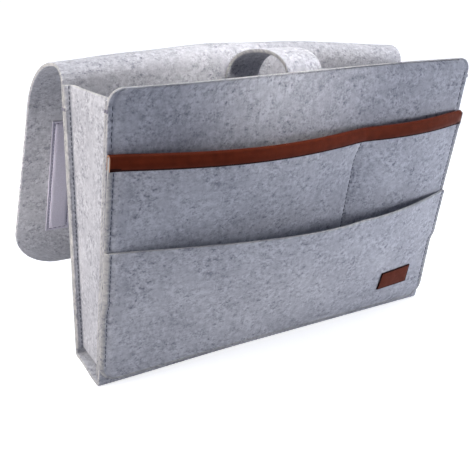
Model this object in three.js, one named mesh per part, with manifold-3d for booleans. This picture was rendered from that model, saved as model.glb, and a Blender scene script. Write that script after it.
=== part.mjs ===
// Bedside caddy: a felt bag with sewn wedge gussets, leather-trimmed front pockets, a felt strap over
// its mouth and a long rear flap that goes under a mattress or over a rail.
// Millimetres, +Z up, X across the bag, -Y is the front. The origin is the middle of the underside.
import * as THREE from 'three';
import { mergeVertices } from 'three/addons/utils/BufferGeometryUtils.js';
import Module from 'manifold-3d';

const wasm = await Module();
wasm.setup();

// Materials and fits
const felt = 3;
const leather = 1.2;
const tape = 1.5;
const clearance = 0.3;

// Bag body
const bagWidth = 350;
const baseDepth = 57;
const topDepth = 91.5;
const frontHeight = 243;
const frontCornerRadius = 12;
const foldRadius = 0.6;

// Gussets: the wedge sides, with flanges turned outwards into the seams
const flangeWidth = 5.5;
const gussetBendRadius = 1.5;
const gussetTop = 234;
const gussetBottom = 9;

// Back bend and flap
const ridgeHeight = 252.5;
const backBendRadius = 15.5;
const flapCurveRadius = 82;
const flapSplay = THREE.MathUtils.degToRad(25.4);
const flapCloseAngle = THREE.MathUtils.degToRad(35);
const flapDrop = 202.5;
const flapCornerRadius = 50;

// Front pockets, with heights measured up the leaning front panel
const pocketBottom = 6;
const seamMargin = 5;
const pinchRun = 14;
const pinchShare = 0.6;
const midBottom = 80;
const midStepRun = 20;
const midSeamHeight = 92;
const midMouthHeight = 199.5;
const dividerFromLeft = 227;
const dividerEase = 9;
const dividerBow = 6.8;
const leftPocketBow = 16.4;
const leftPeakShare = 0.48;
const penPocketBow = 4.2;
const penPeakShare = 0.58;
const lowMouthHeight = 122.5;
const lowPocketBow = 27;
const lowPeakShare = 0.55;
const lowBellyShare = 0.5;
const lowCornerRadius = 14;
const trimHeight = 12;

// Leather patch on the low pocket
const patchWidth = 40;
const patchHeight = 19.5;
const patchFromRight = 48;
const patchCentreHeight = 38.6;

// Strap over the mouth
const strapWidth = 33;
const strapOffset = -9;
const strapSkew = 6;
const strapOverRidge = 6.5;
const strapBackDrop = 26.5;
const strapFrontDrop = 5;
const strapFoot = 32;

// Hook and loop tapes
const tapeWidth = 24;
const tapeLength = 135;
const tapeInset = 30;
const flapTapeStart = 19;
const backTapeTop = 146;

// Facet counts
const pocketColumns = 28;
const pocketRows = 6;
const curveSteps = 14;
const bendSteps = 4;

const halfWidth = bagWidth / 2;
const frontLean = Math.atan((topDepth - baseDepth) / frontHeight);
const frontLength = frontHeight / Math.cos(frontLean);
const backFront = baseDepth / 2 - felt;
const backRear = baseDepth / 2;
const foldOuterRadius = foldRadius + felt;
const frontFoldReach = foldOuterRadius * Math.tan((Math.PI / 2 - frontLean) / 2);
const bendCentreY = backFront + backBendRadius;
const bendCentreZ = ridgeHeight - backBendRadius;

const feltMaterial = () => new THREE.MeshStandardMaterial({ color: 0xb4b7c1, roughness: 0.95 });
const leatherMaterial = () => new THREE.MeshStandardMaterial({ color: 0x6e3a28, roughness: 0.55 });
const tapeMaterial = () => new THREE.MeshStandardMaterial({ color: 0xb3b1bd, roughness: 0.8 });

// Keeps only positions and shares the vertices, so that the body is closed.
function closed(geometry) {
  geometry.deleteAttribute('normal');
  geometry.deleteAttribute('uv');
  return mergeVertices(geometry, 1e-4);
}

function toSolid(geometry) {
  const body = closed(geometry);
  return new wasm.Manifold(new wasm.Mesh({
    numProp: 3,
    vertProperties: new Float32Array(body.attributes.position.array),
    triVerts: new Uint32Array(body.index.array),
  }));
}

function fromSolid(solid) {
  const mesh = solid.getMesh();
  const geometry = new THREE.BufferGeometry();
  geometry.setAttribute('position', new THREE.BufferAttribute(mesh.vertProperties, 3));
  geometry.setIndex(new THREE.BufferAttribute(mesh.triVerts, 1));
  return geometry;
}

function part(name, geometry, material) {
  const mesh = new THREE.Mesh(geometry, material);
  mesh.name = name;
  return mesh;
}

// Extrudes an outline drawn in the YZ plane along X, centred on the given X.
function acrossX(shape, width, centreX = 0) {
  const geometry = new THREE.ExtrudeGeometry(shape, {
    depth: width,
    bevelEnabled: false,
    curveSegments: curveSteps,
  });
  const yAxis = new THREE.Vector3(0, 1, 0);
  const zAxis = new THREE.Vector3(0, 0, 1);
  const xAxis = new THREE.Vector3(1, 0, 0);
  geometry.applyMatrix4(new THREE.Matrix4().makeBasis(yAxis, zAxis, xAxis));
  geometry.translate(centreX - width / 2, 0, 0);
  return closed(geometry);
}

// Extrudes an outline drawn in the XZ plane along Y, from near to far.
function alongY(shape, near, far) {
  const geometry = new THREE.ExtrudeGeometry(shape, {
    depth: far - near,
    bevelEnabled: false,
    curveSegments: curveSteps,
  });
  geometry.rotateX(Math.PI / 2);
  geometry.translate(0, far, 0);
  return closed(geometry);
}

// A sheet on a grid of stations. place gives the point of a grid crossing on the sheet's +Y or -Y side.
function sheetOnGrid(across, up, place) {
  const columns = across.length - 1;
  const rows = up.length - 1;
  const sheet = new THREE.BoxGeometry(1, 1, 1, columns, 1, rows);
  const points = sheet.attributes.position;
  for (let i = 0; i < points.count; i += 1) {
    const x = across[Math.round((points.getX(i) + 0.5) * columns)];
    const row = up[Math.round((points.getZ(i) + 0.5) * rows)];
    const [y, z] = place(x, row, points.getY(i) > 0);
    points.setXYZ(i, x, y, z);
  }
  return closed(sheet);
}

function stations(from, to, count) {
  return Array.from({ length: count + 1 }, (_, i) => from + ((to - from) * i) / count);
}

function roundedRectangle(left, bottom, right, top, bottomRadius, topRadius) {
  const shape = new THREE.Shape();
  shape.moveTo(left + bottomRadius, bottom);
  shape.lineTo(right - bottomRadius, bottom);
  if (bottomRadius > 0) {
    shape.absarc(right - bottomRadius, bottom + bottomRadius, bottomRadius, -Math.PI / 2, 0, false);
  }
  shape.lineTo(right, top - topRadius);
  if (topRadius > 0) {
    shape.absarc(right - topRadius, top - topRadius, topRadius, 0, Math.PI / 2, false);
  }
  shape.lineTo(left + topRadius, top);
  if (topRadius > 0) {
    shape.absarc(left + topRadius, top - topRadius, topRadius, Math.PI / 2, Math.PI, false);
  }
  shape.lineTo(left, bottom + bottomRadius);
  if (bottomRadius > 0) {
    shape.absarc(left + bottomRadius, bottom + bottomRadius, bottomRadius, Math.PI, Math.PI * 1.5, false);
  }
  return shape;
}

// The underside with its two folds: it turns up into the leaning front and the upright back.
function basePanel() {
  const frontCentreY = -baseDepth / 2 + frontFoldReach;
  const backCentreY = backRear - foldOuterRadius;
  const frontAngle = Math.PI + frontLean;
  const shape = new THREE.Shape();
  shape.moveTo(frontCentreY, 0);
  shape.lineTo(backCentreY, 0);
  shape.absarc(backCentreY, foldOuterRadius, foldOuterRadius, -Math.PI / 2, 0, false);
  shape.lineTo(backCentreY + foldRadius, foldOuterRadius);
  shape.absarc(backCentreY, foldOuterRadius, foldRadius, 0, -Math.PI / 2, true);
  shape.lineTo(frontCentreY, felt);
  shape.absarc(frontCentreY, foldOuterRadius, foldRadius, -Math.PI / 2, frontAngle - 2 * Math.PI, true);
  shape.absarc(frontCentreY, foldOuterRadius, foldOuterRadius, frontAngle, Math.PI * 1.5, false);
  return part('base_panel', acrossX(shape, bagWidth), feltMaterial());
}

function frontPanel() {
  const bottom = frontFoldReach + clearance;
  const shape = roundedRectangle(-halfWidth, bottom, halfWidth, frontLength, 0, frontCornerRadius);
  return part('front_panel', alongY(shape, 0, felt), feltMaterial());
}

// The back rises straight, then bends over backwards and ends at the ridge.
function backPanel() {
  const bottom = foldOuterRadius + clearance;
  const shape = new THREE.Shape();
  shape.moveTo(backRear, bottom);
  shape.lineTo(backRear, bendCentreZ);
  shape.absarc(bendCentreY, bendCentreZ, backBendRadius - felt, Math.PI, Math.PI / 2, true);
  shape.lineTo(bendCentreY, ridgeHeight);
  shape.absarc(bendCentreY, bendCentreZ, backBendRadius, Math.PI / 2, Math.PI, false);
  shape.lineTo(backFront, bottom);
  return part('back_panel', acrossX(shape, bagWidth), feltMaterial());
}

// The flap starts at the ridge with an undercut, so that it can close, curves down and hangs straight.
const flapCentreZ = ridgeHeight - flapCurveRadius;
const flapStart = new THREE.Vector2(
  bendCentreY + flapCurveRadius * Math.cos(flapSplay),
  flapCentreZ + flapCurveRadius * Math.sin(flapSplay),
);

function flapPanel() {
  const innerRadius = flapCurveRadius - felt;
  const undercut = felt * Math.tan(flapCloseAngle);
  const outerStart = Math.PI / 2 - clearance / flapCurveRadius;
  const innerStart = Math.PI / 2 - (clearance + undercut) / innerRadius;
  const down = new THREE.Vector2(Math.sin(flapSplay), -Math.cos(flapSplay)).multiplyScalar(flapDrop);
  const inward = new THREE.Vector2(Math.cos(flapSplay), Math.sin(flapSplay)).multiplyScalar(-felt);
  const outerEnd = flapStart.clone().add(down);
  const innerEnd = outerEnd.clone().add(inward);
  const shape = new THREE.Shape();
  shape.absarc(bendCentreY, flapCentreZ, flapCurveRadius, outerStart, flapSplay, true);
  shape.lineTo(outerEnd.x, outerEnd.y);
  shape.lineTo(innerEnd.x, innerEnd.y);
  shape.absarc(bendCentreY, flapCentreZ, innerRadius, flapSplay, innerStart, false);
  const reach = 2 * flapCurveRadius;
  const outline = roundedRectangle(-halfWidth, -flapDrop, halfWidth, reach, flapCornerRadius, 0);
  const cutter = alongY(outline, -reach, reach);
  cutter.rotateX(flapSplay);
  cutter.translate(0, flapStart.x, flapStart.y);
  const panel = toSolid(acrossX(shape, bagWidth)).intersect(toSolid(cutter));
  return part('flap_panel', fromSolid(panel), feltMaterial());
}

// Mirrors a closed body across the bag, with its faces turned so that they still point out.
function mirrored(geometry) {
  const copy = geometry.clone().scale(-1, 1, 1);
  const corners = copy.index.array;
  for (let i = 0; i < corners.length; i += 3) {
    [corners[i], corners[i + 1]] = [corners[i + 1], corners[i]];
  }
  return copy;
}

// A gusset section has its front half tied to the front panel and its rear half to the back panel.
function leftGusset() {
  const halfSpan = baseDepth;
  const bend = gussetBendRadius;
  const outerBend = gussetBendRadius + felt;
  const inner = flangeWidth + felt;
  const section = new THREE.Shape();
  section.moveTo(0, -halfSpan);
  section.lineTo(inner - outerBend, -halfSpan);
  section.absarc(inner - outerBend, outerBend - halfSpan, outerBend, -Math.PI / 2, 0, false);
  section.lineTo(inner, halfSpan - outerBend);
  section.absarc(inner - outerBend, halfSpan - outerBend, outerBend, 0, Math.PI / 2, false);
  section.lineTo(0, halfSpan);
  section.lineTo(0, halfSpan - felt);
  section.lineTo(flangeWidth - bend, halfSpan - felt);
  section.absarc(flangeWidth - bend, halfSpan - felt - bend, bend, Math.PI / 2, 0, true);
  section.lineTo(flangeWidth, felt + bend - halfSpan);
  section.absarc(flangeWidth - bend, felt + bend - halfSpan, bend, 0, -Math.PI / 2, true);
  section.lineTo(0, felt - halfSpan);
  const geometry = new THREE.ExtrudeGeometry(section, {
    depth: gussetTop - gussetBottom,
    bevelEnabled: false,
    curveSegments: bendSteps,
  });
  geometry.translate(0, 0, gussetBottom);
  const points = geometry.attributes.position;
  for (let i = 0; i < points.count; i += 1) {
    const z = points.getZ(i);
    const drawn = points.getY(i);
    const frontInner = -baseDepth / 2 - z * Math.tan(frontLean) + felt / Math.cos(frontLean);
    const fromFront = frontInner + clearance + drawn + halfSpan;
    const fromBack = backFront - clearance + drawn - halfSpan;
    points.setY(i, drawn < 0 ? fromFront : fromBack);
    points.setX(i, points.getX(i) - halfWidth);
  }
  return closed(geometry);
}

// How far a pocket bows between its seams, from 0 to 1, with its fullest place at peak.
function bow(x, left, right, peak) {
  const along = THREE.MathUtils.clamp((x - left) / (right - left), 0, 1);
  return Math.sin(Math.PI * along ** (Math.log(0.5) / Math.log(peak)));
}

const dividerX = dividerFromLeft - halfWidth;
const seamLeft = seamMargin - halfWidth;
const seamRight = halfWidth - seamMargin;

// Thickness of a pocket layer, which the side seams draw together.
function pocketFelt(x) {
  const free = THREE.MathUtils.smoothstep(halfWidth - Math.abs(x), 0, pinchRun);
  return felt * THREE.MathUtils.lerp(pinchShare, 1, free);
}

// How far the mid pocket's mouth bows out: as a whole, fullest at the divider, and in each of its halves.
function mouthBow(x) {
  const dividerShare = (dividerX - seamLeft) / (seamRight - seamLeft);
  const wholeBow = dividerBow * bow(x, seamLeft, seamRight, dividerShare);
  const leftBow = leftPocketBow * bow(x, seamLeft, dividerX, leftPeakShare);
  const penBow = penPocketBow * bow(x, dividerX, seamRight, penPeakShare);
  return wholeBow + leftBow + penBow;
}

// Distance from the front panel to the inner side of the mid pocket. The binding eases the divider's dent.
function midStand(x, height) {
  const lift = THREE.MathUtils.smoothstep(height, midSeamHeight, midMouthHeight);
  const eased = (mouthBow(x - dividerEase) + 2 * mouthBow(x) + mouthBow(x + dividerEase)) / 4;
  const trimRoom = leather + clearance;
  return clearance + lift * (trimRoom + eased);
}

// Distance from the front panel to the inner side of the low pocket.
function lowStand(x, height) {
  const rise = THREE.MathUtils.clamp((height - pocketBottom) / (lowMouthHeight - pocketBottom), 0, 1);
  const lift = rise * (1 + lowBellyShare * (1 - rise));
  const fullness = lowPocketBow * bow(x, seamLeft, seamRight, lowPeakShare);
  const overMid = THREE.MathUtils.smoothstep(height, midBottom - midStepRun, midBottom);
  return clearance + overMid * (midStand(x, height) + pocketFelt(x)) + lift * fullness;
}

const pocketAcross = [
  -halfWidth,
  ...stations(seamLeft, dividerX, Math.round((pocketColumns * dividerFromLeft) / bagWidth)),
  ...stations(dividerX, seamRight, Math.round(pocketColumns * (1 - dividerFromLeft / bagWidth))).slice(1),
  halfWidth,
];
const trimBottom = midMouthHeight - trimHeight;
const midTop = midMouthHeight - leather - clearance;

function midPocket() {
  const up = [midBottom, midSeamHeight, ...stations(midSeamHeight, trimBottom, pocketRows).slice(1), midTop];
  const geometry = sheetOnGrid(pocketAcross, up, (x, height, back) => {
    const out = midStand(x, height) + (back ? 0 : pocketFelt(x));
    return [-out, height];
  });
  return part('mid_pocket', geometry, feltMaterial());
}

function lowPocket() {
  const up = [
    ...stations(pocketBottom, midBottom - midStepRun, pocketRows / 2),
    ...stations(midBottom - midStepRun, midBottom, pocketRows / 2).slice(1),
    ...stations(midBottom, lowMouthHeight, pocketRows / 2).slice(1),
  ];
  const sheet = sheetOnGrid(pocketAcross, up, (x, height, back) => {
    const out = lowStand(x, height) + (back ? 0 : pocketFelt(x));
    return [-out, height];
  });
  const reach = lowPocketBow + leftPocketBow + dividerBow + topDepth;
  const top = lowMouthHeight + felt;
  const outline = roundedRectangle(-halfWidth, pocketBottom, halfWidth, top, lowCornerRadius, 0);
  const trimmed = toSolid(sheet).intersect(toSolid(alongY(outline, -reach, felt)));
  return part('low_pocket', fromSolid(trimmed), feltMaterial());
}

// The leather binding is one strip folded over the mid pocket's top edge, down both of its sides.
function pocketTrim() {
  const wrap = [0, 1, 2, 3];
  const geometry = sheetOnGrid(pocketAcross, wrap, (x, station, outside) => {
    const inLeg = station < 2;
    const atTop = station === 1 || station === 2;
    const thickness = clearance + (outside ? leather : 0);
    const height = atTop ? midTop : trimBottom;
    const stand = midStand(x, height);
    const out = inLeg ? stand - thickness : stand + pocketFelt(x) + thickness;
    return [-out, atTop ? midTop + thickness : trimBottom];
  });
  return part('pocket_trim', geometry, leatherMaterial());
}

function leatherPatch() {
  const right = halfWidth - patchFromRight + patchWidth / 2;
  const across = stations(right - patchWidth, right, 4);
  const bottom = patchCentreHeight - patchHeight / 2;
  const up = stations(bottom, bottom + patchHeight, 3);
  const geometry = sheetOnGrid(across, up, (x, height, back) => {
    const out = lowStand(x, height) + pocketFelt(x) + clearance + (back ? 0 : leather);
    return [-out, height];
  });
  return part('leather_patch', geometry, leatherMaterial());
}

// The strap arches from the back panel's inside to the front panel's inside, with a sewn foot on each.
function closingStrap() {
  const frontInnerAt = (z) => -baseDepth / 2 - z * Math.tan(frontLean) + felt / Math.cos(frontLean);
  const half = felt / 2;
  const strapRise = ridgeHeight + strapOverRidge;
  const strapBackShoulder = ridgeHeight - strapBackDrop;
  const strapFrontShoulder = frontHeight - strapFrontDrop;
  const backY = backFront - clearance - half;
  const frontY = frontInnerAt(strapFrontShoulder) + (clearance + half) / Math.cos(frontLean);
  const upFront = new THREE.Vector2(-Math.sin(frontLean), Math.cos(frontLean));
  const backHandle = ((strapRise - half - strapBackShoulder) * 4) / 3;
  const frontHandle = ((strapRise - half - strapFrontShoulder) * 4) / 3;
  const backTop = new THREE.Vector2(backY, strapBackShoulder);
  const frontTop = new THREE.Vector2(frontY, strapFrontShoulder);
  const arch = new THREE.CubicBezierCurve(
    backTop,
    backTop.clone().add(new THREE.Vector2(0, backHandle)),
    frontTop.clone().add(upFront.clone().multiplyScalar(frontHandle)),
    frontTop,
  );
  const steps = 2 * curveSteps;
  const middle = [backTop.clone().add(new THREE.Vector2(0, -strapFoot)), ...arch.getPoints(steps)];
  middle.push(frontTop.clone().add(upFront.clone().multiplyScalar(-strapFoot)));
  const normals = middle.map((point, i) => {
    const before = middle[Math.max(i - 1, 0)];
    const after = middle[Math.min(i + 1, middle.length - 1)];
    const along = after.clone().sub(before).normalize();
    return new THREE.Vector2(-along.y, along.x).multiplyScalar(half);
  });
  const outer = middle.map((point, i) => point.clone().sub(normals[i]));
  const inner = middle.map((point, i) => point.clone().add(normals[i]));
  const shape = new THREE.Shape([...outer, ...inner.reverse()]);
  const geometry = acrossX(shape, strapWidth, strapOffset);
  const points = geometry.attributes.position;
  for (let i = 0; i < points.count; i += 1) {
    const towardsFront = 0.5 - (points.getY(i) - frontY) / (backY - frontY);
    points.setX(i, points.getX(i) + strapSkew * towardsFront);
  }
  return part('closing_strap', geometry, feltMaterial());
}

function tapeStrip(name, side) {
  const strip = part(name, closed(new THREE.BoxGeometry(tapeWidth, tape, tapeLength)), tapeMaterial());
  strip.position.x = side * (halfWidth - tapeInset - tapeWidth / 2);
  return strip;
}

const caddy = new THREE.Group();
caddy.add(basePanel(), backPanel(), flapPanel(), closingStrap());
caddy.add(part('left_gusset', leftGusset(), feltMaterial()));
caddy.add(part('right_gusset', mirrored(leftGusset()), feltMaterial()));

const front = new THREE.Group();
front.position.y = -baseDepth / 2;
front.rotation.x = frontLean;
front.add(frontPanel(), midPocket(), lowPocket(), pocketTrim(), leatherPatch());
caddy.add(front);

const flapFace = new THREE.Group();
flapFace.position.set(0, flapStart.x, flapStart.y);
flapFace.rotation.x = flapSplay;
caddy.add(flapFace);

for (const [label, side] of [['left', -1], ['right', 1]]) {
  const hook = tapeStrip(`${label}_flap_tape`, side);
  hook.position.y = -felt - clearance - tape / 2;
  hook.position.z = -flapTapeStart - tapeLength / 2;
  flapFace.add(hook);
  const loop = tapeStrip(`${label}_back_tape`, side);
  loop.position.y = backRear + clearance + tape / 2;
  loop.position.z = backTapeTop - tapeLength / 2;
  caddy.add(loop);
}

export default caddy;
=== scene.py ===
"""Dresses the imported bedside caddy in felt, leather, tape and thread, and sets up its studio."""
import math
from functools import partial

import bmesh
import bpy
from bpy.props import FloatProperty, FloatVectorProperty, PointerProperty, StringProperty
from mathutils import Matrix, Vector, noise
from mathutils.geometry import interpolate_bezier


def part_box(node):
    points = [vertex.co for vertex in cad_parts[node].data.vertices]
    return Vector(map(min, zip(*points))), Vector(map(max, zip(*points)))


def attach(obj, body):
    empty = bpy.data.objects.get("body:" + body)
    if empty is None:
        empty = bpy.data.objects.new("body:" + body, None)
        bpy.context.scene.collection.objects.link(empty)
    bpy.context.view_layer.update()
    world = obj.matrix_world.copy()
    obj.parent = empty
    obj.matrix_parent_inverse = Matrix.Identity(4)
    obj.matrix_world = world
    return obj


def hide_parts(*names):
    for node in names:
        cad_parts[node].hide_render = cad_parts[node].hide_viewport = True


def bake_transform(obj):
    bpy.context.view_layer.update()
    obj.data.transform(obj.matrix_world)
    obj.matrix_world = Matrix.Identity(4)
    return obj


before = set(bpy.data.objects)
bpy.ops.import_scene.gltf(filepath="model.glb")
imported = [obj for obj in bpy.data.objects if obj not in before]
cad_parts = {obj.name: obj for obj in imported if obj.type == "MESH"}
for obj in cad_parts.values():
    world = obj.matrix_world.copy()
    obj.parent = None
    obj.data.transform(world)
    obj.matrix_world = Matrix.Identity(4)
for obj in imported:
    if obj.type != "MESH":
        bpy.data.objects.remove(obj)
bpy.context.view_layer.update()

bl_info = {
    "name": "Bedside caddy",
    "version": (1, 0, 0),
    "blender": (4, 5, 0),
    "location": "View3D > Sidebar > Caddy",
    "description": "Builds a felt bedside caddy over its packed solids",
    "category": "Object",
}

MM = 0.001
# Width of the photograph, in pixels.
PIXELS = 470
FELT = 3 * MM
# Stations where the runs of the folded felt strip start, from the front's top edge to the flap's end.
FRONT, FRONT_FOLD, BASE, BACK_FOLD, BACK, BEND, SHOULDER, FLAP, FLAP_END = range(9)
# Sockets of a Mix node that mixes colours.
MIX_FROM, MIX_TO, MIXED = 6, 7, 2
base_low, base_high = (Vector(corner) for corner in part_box("base_panel"))
back_low, back_high = (Vector(corner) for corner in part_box("back_panel"))


def length(name, description, default):
    """A length that a user can change, in metres."""
    return FloatProperty(
        name=name, description=description, default=default, min=0, unit="LENGTH", precision=4)


def angle(name, description, degrees):
    """An angle that a user can change."""
    return FloatProperty(
        name=name, description=description, default=math.radians(degrees), subtype="ANGLE")


def share(name, description, default):
    """A share between nothing and all."""
    return FloatProperty(
        name=name, description=description, default=default, min=0, max=1, subtype="FACTOR")


def colour(name, description, default):
    """An sRGB colour, written as hex."""
    return StringProperty(name=name, description=description, default=default)


class CaddyBody(bpy.types.PropertyGroup):
    """Sizes of the folded felt strip, the gussets and the strap."""
    felt: length("Felt", "Thickness of the felt", FELT)
    gap: length("Gap", "Room between neighbouring layers", 0.3 * MM)
    width: length("Width", "Width of the bag", base_high.x - base_low.x)
    base_depth: length("Base depth", "Depth of the underside", 2 * (back_low.y + FELT))
    mouth_run: length("Front lean", "How far the front leans out at its top", 34.5 * MM)
    front_height: length("Front height", "Height of the front's top edge", 243 * MM)
    front_corner: length("Front corners", "Radius of the front's top corners", 12 * MM)
    fold: length("Fold", "Inner radius of the folds at the base", 0.6 * MM)
    ridge: length("Ridge", "Height of the ridge over the back", back_high.z)
    bend: length("Back bend", "Outer radius of the bend at the top of the back", 15.5 * MM)
    ridge_rise: length("Ridge rise", "How much the ridge stands higher in its middle", 9.5 * MM)
    flap_curve: length("Flap curve", "Radius of the flap's shoulder", 82 * MM)
    flap_splay: angle("Flap splay", "How far the flap hangs out from upright", 25.4)
    flap_drop: length("Flap drop", "Straight length of the flap", 202.5 * MM)
    flap_corner: length("Flap corners", "Radius of the flap's lower corners", 50 * MM)
    flange: length("Flange", "Width of the gussets' seam flanges", 5.5 * MM)
    gusset_bend: length("Gusset bend", "Inner radius of the gussets' bends", 1.5 * MM)
    gusset_top: length("Gusset top", "Height of the gussets' top edge", 234 * MM)
    gusset_bottom: length("Gusset bottom", "Height of the gussets' lower edge", 9 * MM)
    strap_width: length("Strap width", "Width of the strap over the mouth", 33 * MM)
    strap_offset: length("Strap offset", "How far the strap is left of the middle", 9 * MM)
    strap_skew: length("Strap skew", "How much further right the strap's front end is", 6 * MM)
    strap_rise: length("Strap rise", "Height of the strap's crown", 259 * MM)
    strap_back: length("Strap at back", "Height at which the strap leaves the back", 226 * MM)
    strap_front: length("Strap at front", "Height at which the strap leaves the front", 238 * MM)
    strap_foot: length("Strap foot", "Length of the sewn feet of the strap", 32 * MM)
    splay: length("Splay", "How far the lower left corner of the front is pushed out", 4.5 * MM)
    stretch: length("Stretch", "How much higher the front's right end is drawn", 4.4 * MM)
    sway: length("Sway", "How far the right end leans out at its top", 4 * MM)
    tack: length("Bar tacks", "Height of the bar tacks that end the side seams", 222 * MM)


class CaddyPockets(bpy.types.PropertyGroup):
    """Sizes of the front pockets, with heights measured up the leaning front."""
    bottom: length("Bottom", "Height of the pockets' lower edge", 6 * MM)
    seam: length("Seam margin", "Distance from the raw edges where the pockets start to bow", 5 * MM)
    stitched: length("Side stitches", "Distance of the side stitches from the raw edges", 4 * MM)
    groove: length("Groove", "How deep the stitches draw the felt in", 1.2 * MM)
    groove_reach: length("Groove reach", "How far beside a seam the felt is drawn in", 1.3 * MM)
    margin: length("Margin", "Width over which the raw side edges are skived", 3.2 * MM)
    left_edge: share("Left edge", "Share of the thickness left at the left raw edges", 0.3)
    right_edge: share("Right edge", "Share of the thickness left at the right raw edges", 0.7)
    mid_bottom: length("Mid bottom", "Height of the mid pocket's hidden lower edge", 80 * MM)
    mid_step: length("Mid step", "Height over which the low pocket steps over that edge", 20 * MM)
    cross_seam: length("Cross seam", "Height of the mid pocket's hidden cross seam", 92 * MM)
    mid_mouth: length("Mid mouth", "Height of the leather binding's top", 199.5 * MM)
    divider: length("Divider", "Distance of the divider seam from the left edge", 227 * MM)
    ease: length("Divider ease", "How widely the binding bridges the divider's dent", 9 * MM)
    valley: share("Valley", "How far the divider draws the pocket's bow in", 0.8)
    valley_reach: length("Valley reach", "How far beside the divider it is drawn in", 13 * MM)
    divider_bow: length("Divider bow", "How far the mouth as a whole stands out, at the divider", 6.8 * MM)
    left_bow: length("Left bow", "How much further the left pocket's mouth stands out", 16.4 * MM)
    left_peak: share("Left peak", "Where along the mouth the left pocket is fullest", 0.48)
    pen_bow: length("Pen bow", "How much further the pen pocket's mouth stands out", 4.2 * MM)
    pen_peak: share("Pen peak", "Where along the mouth the pen pocket is fullest", 0.58)
    low_mouth: length("Low mouth", "Height of the low pocket's mouth", 122.5 * MM)
    low_bow: length("Low bow", "How far the low pocket's mouth stands out", 27 * MM)
    low_peak: share("Low peak", "Where along the mouth the low pocket is fullest", 0.55)
    low_belly: share("Low belly", "How early the low pocket swells above its seam", 0.5)
    low_corner: length("Low corners", "Radius of the low pocket's lower corners", 14 * MM)
    leather: length("Leather", "Thickness of the leather", 1.2 * MM)
    trim: length("Binding", "Height of the leather binding", 12 * MM)
    trim_swell: length("Binding swell", "How far the binding's face is rounded out", 1.8 * MM)
    trim_short: length("Binding end", "How far the binding ends before the right edge", 3 * MM)
    patch_width: length("Patch width", "Width of the leather patch", 40 * MM)
    patch_height: length("Patch height", "Height of the leather patch", 19.5 * MM)
    patch_inset: length("Patch inset", "Distance of the patch's middle from the right edge", 48 * MM)
    patch_centre: length("Patch centre", "Height of the patch's middle", 38.6 * MM)


class CaddyTapes(bpy.types.PropertyGroup):
    """Sizes of the hook and loop tapes and of the sewing."""
    thickness: length("Thickness", "Thickness of a tape", 1.5 * MM)
    width: length("Width", "Width of a tape", 24 * MM)
    length: length("Length", "Length of a tape", 135 * MM)
    inset: length("Inset", "Distance of the tapes from the side edges", 30 * MM)
    flap_start: length("Flap start", "Distance of the flap's tapes below its shoulder", 19 * MM)
    back_top: length("Back top", "Height of the top of the back's tapes", 146 * MM)
    border: length("Border", "Distance of a tape's stitches from its edges", 2.4 * MM)
    border_pile: share("Border pile", "Thickness of a tape's flat border, as a share", 0.7)
    slant: length("Slant", "How far the upper ends of the flap's tapes lean outwards", 6 * MM)
    stitch: length("Stitch", "Length of a stitch", 3.6 * MM)
    pitch: length("Pitch", "Distance from stitch to stitch", 4 * MM)
    thread: length("Thread", "Thickness of the thread", 0.8 * MM)


class CaddyFinish(bpy.types.PropertyGroup):
    """Colours of the materials."""
    felt_light: colour("Felt light", "Pale fibres of the felt", "#c8c9cf")
    felt_dark: colour("Felt dark", "Dark fibres of the felt", "#7c7d88")
    felt_cut: colour("Felt cut", "Raw cut edges of the felt", "#c0bfbc")
    leather: colour("Leather", "Face of the leather", "#602717")
    leather_dark: colour("Leather dark", "Pores and edges of the leather", "#2b0f0a")
    leather_cut: colour("Leather cut", "Raw cut ends of the leather", "#c39a80")
    tape: colour("Tape", "Woven tape", "#c9c6d8")
    thread: colour("Thread", "Sewing thread of the seams", "#4d505e")
    tape_thread: colour("Tape thread", "Sewing thread of the tapes", "#8f8b9f")


class CaddyStudio(bpy.types.PropertyGroup):
    """Camera, found from the photograph's perspective."""
    azimuth: angle("Azimuth", "Camera's turn from straight ahead", -32.8)
    elevation: angle("Elevation", "Camera's height as an angle", 19.3)
    roll: angle("Roll", "Camera's tilt", 1.1)
    focal_pixels: FloatProperty(
        name="Focal length", description="Focal length in pixels", default=780.4, subtype="PIXEL")
    place: FloatVectorProperty(
        name="Place", description="Camera's place", default=(-387.8 * MM, -553.6 * MM, 325.4 * MM),
        size=3, subtype="TRANSLATION", unit="LENGTH")


def groups(context, *names):
    """The named groups of settings."""
    return [getattr(context.scene, f"caddy_{name}") for name in names]


# Shapes shared by the pieces

def smooth(value, low, high):
    """A soft step from 0 at low to 1 at high."""
    step = min(max((value - low) / (high - low), 0), 1)
    return step * step * (3 - 2 * step)


def dent(distance, depth, reach):
    """How deep a seam's groove is at a distance from its line."""
    return depth * math.exp(-(distance / reach) ** 2)


def ripple(place, size, height):
    """Slow unevenness of soft felt, the same on every run."""
    return height * noise.noise(place / size)


def spaced(marks, step):
    """Stations through the marks, filled in evenly so that none are further apart than step."""
    stations = [marks[0]]
    for first, last in zip(marks, marks[1:]):
        count = max(1, math.ceil((last - first) / step - 1e-6))
        stations += [first + (last - first) * i / count for i in range(1, count + 1)]
    return stations


def stretches(*parts):
    """Stations through several parts of a line, each given as its first, its last and its step."""
    return [station for first, last, step in parts for station in spaced([first, last], step)]


def seam_marks(line):
    """Stations that draw a groove beside a seam line."""
    return [line + offset * MM for offset in (-2, -0.9, 0, 0.9, 2)]


def corner_marks(radius, count=8):
    """Distances from an edge that draw a round corner in even steps."""
    return [radius * (1 - math.cos(math.pi / 2 * i / count)) for i in range(count + 1)]


def corner_cut(distance, radius):
    """How much narrower a sheet is at a distance from its edge with round corners."""
    if distance >= radius:
        return 0
    return radius - math.sqrt(radius ** 2 - (radius - distance) ** 2)


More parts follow.
